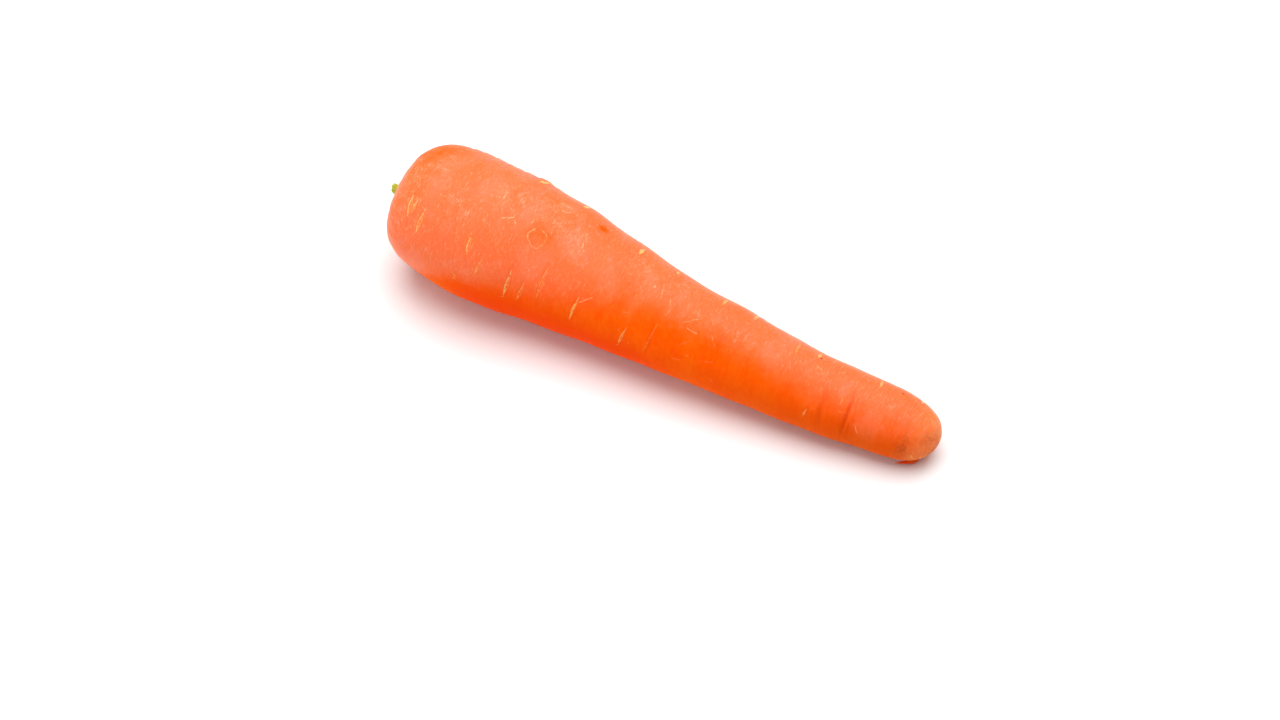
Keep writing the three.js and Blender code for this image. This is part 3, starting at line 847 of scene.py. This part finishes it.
def crown_finish():
    """Dry leaf bases in straw, olive and pale green, speckled with crumbs, with bare
    orange-brown fibres, grey leaf ends, the small rings of cut veins and painted shade at the edge."""
    material, shader, place = new_finish("dry_crown")
    ridge, shade, fibres, bare = map(place.mask, ("ridge", "shade", "fibres", "bare"))
    cut, vein, eye, outward = map(place.mask, ("cut", "vein", "eye", "outward"))
    speckle = place.noise(0.42 * MM, 3, Roughness=0.7)
    blotch = place.noise(1.6 * MM, 3)
    crumb = place.mask("crumbs") + 0.5 * (speckle - 0.5)
    colour = blotch.step(0.4, 0.6).mixed(CRUMB_BROWN, CRUMB_TAN)
    colour = (crumb.step(0.55, 0.8) * 0.85).mixed(colour, PALE_CRUMBS)
    colour = (crumb.step(0.46, 0.26) * 0.85).mixed(colour, DARK_CRUMBS)
    base = shade.step(0.2, 0.6).mixed(OLIVE_BASE, STRAW_BASE)
    base = shade.step(0.66, 0.76).mixed(base, GREEN_BASE)
    base = (blotch.step(0.5, 0.6) * 0.5).mixed(base, BROWN_BLOTCH)
    base = (speckle.step(0.54, 0.64) * 0.75).mixed(base, PALE_SPECKS)
    base = (speckle.step(0.47, 0.36) * 0.85).mixed(base, DARK_SPECKS)
    colour = (ridge + 0.5 * (speckle - 0.5)).step(0.3, 0.6).mixed(colour, base)
    strand = (fibres + 0.3 * (blotch - 0.5)).step(0.4, 0.62)
    fibre = strand.mixed(DARK_FIBRE, ORANGE_FIBRE)
    fibre = (fibres.step(0.6, 0.74) * 0.85).mixed(fibre, PALE_FIBRE)
    colour = bare.mixed(colour, fibre)
    colour = (vein * 0.85).mixed(colour, VEIN_YELLOW)
    colour = (eye * 0.6).mixed(colour, VEIN_EYE)
    grey = speckle.step(0.35, 0.7).mixed(LEAF_END_DARK, LEAF_END_PALE)
    colour = cut.step(0.1, 0.45).mixed(colour, LEAF_END_EDGE)
    colour = cut.step(0.5, 0.8).mixed(colour, grey)
    # Painted shade at the crown's outer edge, next to the gap round it.
    colour = (outward.step(0.9, 1) * 0.75).mixed(colour, CROWN_EDGE_SHADE)
    fine = speckle + 0.7 * place.noise(0.2 * MM, 3)
    connect(
        shader, Base_Color=colour, Normal=fine.bump(0.8, 0.15 * MM),
        Roughness=0.75 + 0.2 * blotch, Specular_IOR_Level=0.25,
        Subsurface_Weight=0.1, Subsurface_Radius=(1, 0.5, 0.2), Subsurface_Scale=0.6 * MM)
    return material


crown = crown_mesh()
crown.data.materials.append(crown_finish())
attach(crown, "root")
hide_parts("crown")


def strand_rings(path, thickness, sides=5):
    """Rings of points round a thin tapered strand that follows the path."""
    ahead = np.gradient(path, axis=0)
    ahead /= np.linalg.norm(ahead, axis=1, keepdims=True)
    aside = np.cross(ahead, (0.3, 0.5, 0.8))
    aside /= np.linalg.norm(aside, axis=1, keepdims=True)
    up = np.cross(ahead, aside)
    turn = ring_angles(sides)[..., None]
    taper = thickness / 2 * np.linspace(1, 0.25, len(path))[:, None, None]
    return path[:, None] + taper * (np.cos(turn) * aside[:, None] + np.sin(turn) * up[:, None])


def joined(name, pieces):
    """One object from several."""
    with bpy.context.temp_override(
            active_object=pieces[0], selected_editable_objects=pieces, object=pieces[0]):
        bpy.ops.object.join()
    pieces[0].name = pieces[0].data.name = name
    return pieces[0]


STRANDS = 105  # thin dry fibres on the leaf bases
FLAKES = 34  # papery scraps round the crown's edge

# Colours of the strands and scraps, as sRGB bytes
STRAND_BROWN = (112, 74, 38)
STRAND_STRAW = (214, 184, 124)


def crown_strand(number):
    """A dry strand that stands up from a leaf base and leans outwards."""
    leaf = number % LEAF_BASES
    angle = leaf * GOLDEN_ANGLE + RIDGE_HALF_TURN * 1.3 * (draw(number + 40) - 0.5)
    radius = leaf_middle(leaf) + 0.7 * MM * (draw(number + 80) - 0.5)
    height = (0.5 + 1.3 * draw(number + 120) ** 2) * MM
    share = np.linspace(0, 1, 7)
    foot = crown_top(radius) - leaf_bases(np.array(radius), np.array(angle))[0]
    curl = 1.5 * (draw(number + 160) - 0.5)
    path = on_axis(
        foot + 0.2 * MM - share * height,
        radius + (0.1 + 0.5 * draw(number + 200)) * share ** 2 * height,
        angle + curl * share ** 2 * height / radius)
    rings = strand_rings(in_frame(laid_down(path)), (0.09 + 0.1 * draw(number + 240)) * MM)
    tone = np.full(rings.shape[:2], draw(number + 280))
    return grid_mesh("strand", rings, {"tone": tone})


def strand_finish():
    """Dry plant fibre, from dark brown to straw."""
    material, shader, place = new_finish("dry_strands")
    tone = place.mask("tone") + 0.4 * (place.noise(0.5 * MM, 2) - 0.5)
    colour = tone.step(0.2, 0.8).mixed(STRAND_BROWN, STRAND_STRAW)
    connect(shader, Base_Color=colour, Roughness=0.8, Specular_IOR_Level=0.2)
    return material


def dry_flake(number):
    """A torn papery scrap of a leaf base that stands at the crown's edge and leans outwards."""
    share = np.linspace(0, 1, 9)[:, None]
    turn = ring_angles(16)
    across = np.cos(turn) * (1 - 0.2 * share ** 2)
    width = (1.4 + 2.2 * draw(number + 520)) * MM
    length = (0.5 + 0.8 * draw(number + 540)) * MM
    torn = 1 + 0.3 * wrinkles(across + draw(number + 550), (4, 9, 15)) - 0.25 * across ** 2
    lean = 0.15 + 0.9 * draw(number + 560)
    reach = share * length * torn
    radius = CROWN_RADIUS - (0.5 + 0.5 * draw(number + 570)) * MM
    radius = radius + reach * math.sin(lean) * (0.6 + 0.4 * share) + 0.06 * MM * np.sin(turn)
    middle = 2 * math.pi * (number + 0.9 * draw(number + 500)) / FLAKES
    station = crown_top(CROWN_RADIUS) + 0.1 * MM - reach * math.cos(lean)
    points = on_axis(station, radius, middle + across * width / 2 / CROWN_RADIUS)
    tone = np.full(points.shape[:2], 0.7 * draw(number + 580))
    return grid_mesh("flake", in_frame(laid_down(points)), {"tone": tone})


crown_strands = joined("crown_strands", [
    *(crown_strand(number) for number in range(STRANDS)),
    *(dry_flake(number) for number in range(FLAKES)),
])
crown_strands.data.materials.append(strand_finish())
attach(crown_strands, "root")

# ---------------------------------------------------------------------------------------------
# The leaf stubs: what the trimming left of the green stalks, on the bud in the middle of the
# crown. Each stalk is ribbed outside and channelled inside, and its cut end is torn and shows
# the ends of its veins.
# ---------------------------------------------------------------------------------------------

STUBS = [  # angle and lean in degrees; offset, width, thickness and height in mm
    {"angle": 48, "offset": 2.3, "width": 3.6, "thickness": 2.4, "height": 5.2, "lean": 12},
    {"angle": 186, "offset": 2.2, "width": 3, "thickness": 1.8, "height": 3.2, "lean": 16},
    {"angle": 323, "offset": 1.9, "width": 2.6, "thickness": 1.6, "height": 2.7, "lean": 10},
    {"angle": 101, "offset": 0.9, "width": 1.8, "thickness": 1.3, "height": 3, "lean": 4},
]
STUB_LINE = [(0, 1.12), (0.35, 1), (0.7, 0.95), (1, 0.9)]  # share of the height, and size
CUT_RINGS = 9  # rings of points over the cut face
STUB_SIDES = 60
RIBS = 9  # round each stub
BUD_RINGS = 60
BUD_SIDES = 120
BUD_SCALES = 13


def stub_mesh(number, angle, offset, width, thickness, height, lean):
    """A ribbed stub from its foot to its cut, then over the cut to the middle of it."""
    share, size = smooth_line(STUB_LINE, 8).T
    share = np.concatenate([share, np.ones(CUT_RINGS)])[:, None]
    inward = np.linspace(1, 0.02, CUT_RINGS + 1)[1:]
    face = np.concatenate([np.zeros(len(size)), 1 - inward])[:, None]
    size = np.concatenate([size, size[-1] * inward])[:, None]
    turn = ring_angles(STUB_SIDES)
    across = size * (width / 2) * np.sin(turn)
    ribs = 0.06 * np.cos(RIBS * turn) + 0.02 * np.cos(2 * RIBS * turn + 1)
    out = size * (thickness / 2) * (np.cos(turn) + ribs * (1 - face) ** 2)
    out = out + np.where(np.cos(turn) < 0, 0.3 * thickness * size * np.cos(turn) ** 2, 0)
    slant = share * (0.25 * across + 0.3 * out)
    at_cut = smooth_step(share, 0.75, 1)
    torn = at_cut * (0.22 + 0.2 * wrinkles(turn + number, (5, 8, 13)) * (1 - face))
    dished = 0.25 * smooth_step(face, 0, 0.5)
    points = np.stack(np.broadcast_arrays(
        -share * height - slant + np.maximum(torn, 0) + dished, across, out), -1) * MM
    foot = (crown_top(0), np.interp(0, *bend_line.T), offset * MM)
    stand = (
        Matrix.Rotation(math.radians(angle), 4, "X") @ Matrix.Translation(foot)
        @ Matrix.Rotation(-math.radians(lean), 4, "Y"))
    placed = points @ np.array(stand.to_3x3()).T + stand.translation
    on_ring = np.exp(-(((face - 0.35) / 0.16) ** 2))
    veins = on_ring * smooth_step(np.cos(7 * turn + number), 0.1, 0.8)
    masks = {"up": share, "cut": face, "veins": veins, "rib": 0.5 + 0.5 * np.cos(RIBS * turn)}
    masks = {name: np.broadcast_to(values, across.shape) for name, values in masks.items()}
    return grid_mesh("stub", in_frame(laid_down(placed)), masks)


def bud_mesh():
    """The low dome that the stubs stand on, wrapped in the scales of the youngest leaves."""
    turn = ring_angles(BUD_SIDES)
    outward = np.linspace(0.004, 0.9, BUD_RINGS)[:, None]
    drop = np.interp(outward, [0, 0.45, 0.8, 0.9], [0, 0.2, 0.8, 1.4])
    scales = np.zeros((BUD_RINGS, BUD_SIDES))
    for scale in range(BUD_SCALES):
        across = turn_between(turn, scale * GOLDEN_ANGLE + 0.5) / 0.8
        out = (outward - 0.78 * (1 - scale / (BUD_SCALES + 1))) / 0.07
        scales = np.maximum(scales, np.clip(1 - across ** 2, 0, 1) * np.exp(-(out ** 2)))
    top = crown_top(0) - PIECE_GAP - 1.6 * MM
    foot = np.full((1, BUD_SIDES), top + 1.9 * MM)
    station = np.concatenate([top + (drop + 0.25 - 0.25 * scales) * MM, foot, foot])
    radius = np.concatenate([outward, [[0.8]], [[0.01]]]) * BUD_RADIUS
    foot_rings = ((0, 2), (0, 0))
    plain = np.zeros(station.shape)
    masks = {"up": np.pad(0.12 + 0.34 * scales, foot_rings), "cut": plain, "veins": plain,
             "rib": np.pad(scales, foot_rings)}
    points = in_frame(laid_down(on_axis(station, radius, turn)))
    return grid_mesh("bud", points, masks, backwards=True)


# Colours of the stalks, as sRGB bytes
STALK_FOOT = (122, 80, 26)
STALK_GREEN = (158, 160, 24)
STALK_STREAKS = (190, 192, 40)
STALK_RIBS = (206, 204, 72)
STALK_BLOTCHES = (176, 124, 10)
STALK_CUT = (206, 202, 104)
STALK_RIND = (120, 108, 30)
STALK_VEINS = (150, 132, 48)


def stalk_finish():
    """Yellow-green stalk, brown at its foot, with paler ribs and a pale, browned cut."""
    material, shader, place = new_finish("green_stalk")
    up, cut, veins, rib = map(place.mask, ("up", "cut", "veins", "rib"))
    blotch = place.noise(0.9 * MM, 3)
    streaks = place.node("ShaderNodeMapping", {}, {"Vector": place, "Scale": (0.15, 1, 1)})
    streaks = streaks.noise(0.3 * MM, 3)
    colour = (up + 0.6 * (blotch - 0.5)).step(0.05, 0.55).mixed(STALK_FOOT, STALK_GREEN)
    colour = (streaks.step(0.45, 0.65) * 0.6).mixed(colour, STALK_STREAKS)
    colour = (rib.step(0.5, 1) * 0.3).mixed(colour, STALK_RIBS)
    colour = (blotch.step(0.52, 0.66) * 0.7).mixed(colour, STALK_BLOTCHES)
    colour = cut.step(0.02, 0.2).mixed(colour, STALK_CUT)
    colour = (cut.step(0.02, 0.1) * cut.step(0.35, 0.12) * 0.7).mixed(colour, STALK_RIND)
    colour = (veins * 0.7).mixed(colour, STALK_VEINS)
    connect(
        shader, Base_Color=colour, Normal=(streaks + 0.5 * blotch).bump(0.5, 0.1 * MM),
        Roughness=0.5 + 0.2 * blotch, Specular_IOR_Level=0.35,
        Subsurface_Weight=0.25, Subsurface_Radius=(0.7, 1, 0.2), Subsurface_Scale=0.8 * MM)
    return material


stubs = joined("leaf_stubs_cut", [
    bud_mesh(),
    *(stub_mesh(number, **stub) for number, stub in enumerate(STUBS)),
])
stubs.data.materials.append(stalk_finish())
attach(stubs, "root")
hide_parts("leaf_stubs")

# ---------------------------------------------------------------------------------------------
# The rootlets: a few broken hairs of the side roots, thin and dry. They grow out of the skin in
# or near the scars and lie close to it.
# ---------------------------------------------------------------------------------------------

ROOTLETS = [  # place, length in mm, heading in degrees (0 is along the root, 90 round it)
    (147, -24, 1.6, 40), (32, 137, 5, 30), (57.5, 142, 3.5, 110), (88, 153, 4.5, -20),
    (111, 232, 4, 40), (139, 240, 5, -30), (41, 238, 3, 80), (167, 152, 3, 20), (70, 228, 2.5, 150),
]


def rootlet(number, at, turn, length, heading):
    """A thin root that comes out of the skin and bends along it."""
    share = np.linspace(0, 1, 14)
    bend = heading + 70 * (draw(number + 5) - 0.5) * share
    along = at * MM + length * MM * share * np.cos(np.radians(bend))
    radius = np.interp(along, *outline[RIM_POINT * LINE_STEPS:].T)
    angle = math.radians(turn) + length * MM * share * np.sin(np.radians(bend)) / radius
    lift = (-0.6 + 1.3 * np.sin(2.2 * share)) * MM
    rings = strand_rings(skin_point(along, angle, lift), (0.3 + 0.15 * draw(number)) * MM, sides=7)
    tone = np.full(rings.shape[:2], 0.6 + 0.4 * draw(number))
    return grid_mesh("rootlet", rings, {"tone": tone})


rootlets = joined("rootlets", [rootlet(number, *line) for number, line in enumerate(ROOTLETS)])
rootlets.data.materials.append(strand_finish())
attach(rootlets, "root")

# ---------------------------------------------------------------------------------------------
# The sliver: a strip of skin torn at the tip, as orange as the root with some painted light, as it
# lies in the root's shadow. It still hangs on under the tip and bends round to lie just above the
# floor.
# ---------------------------------------------------------------------------------------------

SLIVER_LINE = [  # x, y and z in mm, from the tip's under side to the loose end
    (89.2, 0.6, 1.1), (91.4, -0.5, 0.95), (92.1, -2.2, 0.8), (90.7, -3.9, 0.75), (88.6, -5.3, 0.7),
    (86.3, -6.6, 0.6),
]


def sliver_mesh():
    """A flat strip that narrows towards its loose end and keeps off the floor."""
    middle = smooth_line(SLIVER_LINE, 6)[:, None] * MM
    share = np.linspace(0, 1, len(middle))[:, None]
    turn = ring_angles(24)
    size = np.clip(1.15 - share ** 2.5, 0.2, 1)
    width = 0.8 * size * (1 + 0.12 * wrinkles(6 * share, (1, 2))) * np.cos(turn)
    width = width + 0.12 * wrinkles(5 * share + turn, (1, 2)) * np.cos(turn)
    thickness = 0.5 * size * np.sin(turn)
    aside = np.stack(np.broadcast_arrays(-0.5 * width, 0.85 * width, thickness), -1)
    # The sliver is given some painted light, as it lies in the root's shadow.
    return grid_mesh("tip_sliver", middle + aside * MM, {"painted_top_light": np.full(width.shape, 0.45)})


sliver = sliver_mesh()
sliver.data.materials.append(carrot.data.materials[0])
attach(sliver, "root")

# ---------------------------------------------------------------------------------------------
# The floor, the light and the camera: a flat pale floor in even white light, with a large soft
# lamp above and a little behind the carrot and a small one low at its front left. The camera
# looks down at its front from the right.
# ---------------------------------------------------------------------------------------------

FLOOR_REACH = 3  # metres from the middle to each side
FLOOR_GREY = (0.88, 0.88, 0.88, 1)  # in linear light
SKY_STRENGTH = 0.26

floor_corners = [
    (FLOOR_REACH * x, FLOOR_REACH * y, 0) for x, y in ((-1, -1), (1, -1), (1, 1), (-1, 1))]
floor_mesh = bpy.data.meshes.new("floor")
floor_mesh.from_pydata(floor_corners, [], [range(4)])
floor = bpy.data.objects.new("floor", floor_mesh)
bpy.context.collection.objects.link(floor)
floor_material, floor_shader, _ = new_finish("pale_floor")
connect(floor_shader, Base_Color=FLOOR_GREY, Roughness=0.7, Specular_IOR_Level=0.1)
floor.data.materials.append(floor_material)


def soft_lamp(name, place, size, power):
    """A square lamp that faces the carrot, with its size in metres and its power in watts."""
    lamp = bpy.data.lights.new(name, "AREA")
    lamp.size = size
    lamp.energy = power
    thing = bpy.data.objects.new(name, lamp)
    thing.location = place
    thing.rotation_euler = (-Vector(place)).to_track_quat("-Z", "Y").to_euler()
    bpy.context.collection.objects.link(thing)


soft_lamp("key_lamp", place=(-0.1, 0.25, 1.3), size=1.4, power=27)
soft_lamp("front_lamp", place=(-0.4, -0.5, 0.36), size=0.5, power=1.3)

world = bpy.data.worlds.new("studio")
bpy.context.scene.world = world
world.use_nodes = True
sky = world.node_tree.nodes["Background"]
sky.inputs["Color"].default_value = (1, 1, 1, 1)
sky.inputs["Strength"].default_value = SKY_STRENGTH
bpy.context.scene.view_settings.view_transform = "Standard"

VIEW_AZIMUTH = math.radians(27.19)
VIEW_ELEVATION = math.radians(56)
VIEW_DISTANCE = 0.972
VIEW_TARGET = Vector((-2.96, -8.08, 0)) * MM
VIEW_LENS = 85  # mm
camera = bpy.data.objects.new("camera", bpy.data.cameras.new("camera"))
bpy.context.collection.objects.link(camera)
camera.data.lens = VIEW_LENS
camera.data.clip_start = 1 * MM
to_camera = Vector((
    math.sin(VIEW_AZIMUTH) * math.cos(VIEW_ELEVATION),
    -math.cos(VIEW_AZIMUTH) * math.cos(VIEW_ELEVATION),
    math.sin(VIEW_ELEVATION),
))
camera.location = VIEW_TARGET + VIEW_DISTANCE * to_camera
camera.rotation_euler = to_camera.to_track_quat("Z", "Y").to_euler()
bpy.context.scene.camera = camera
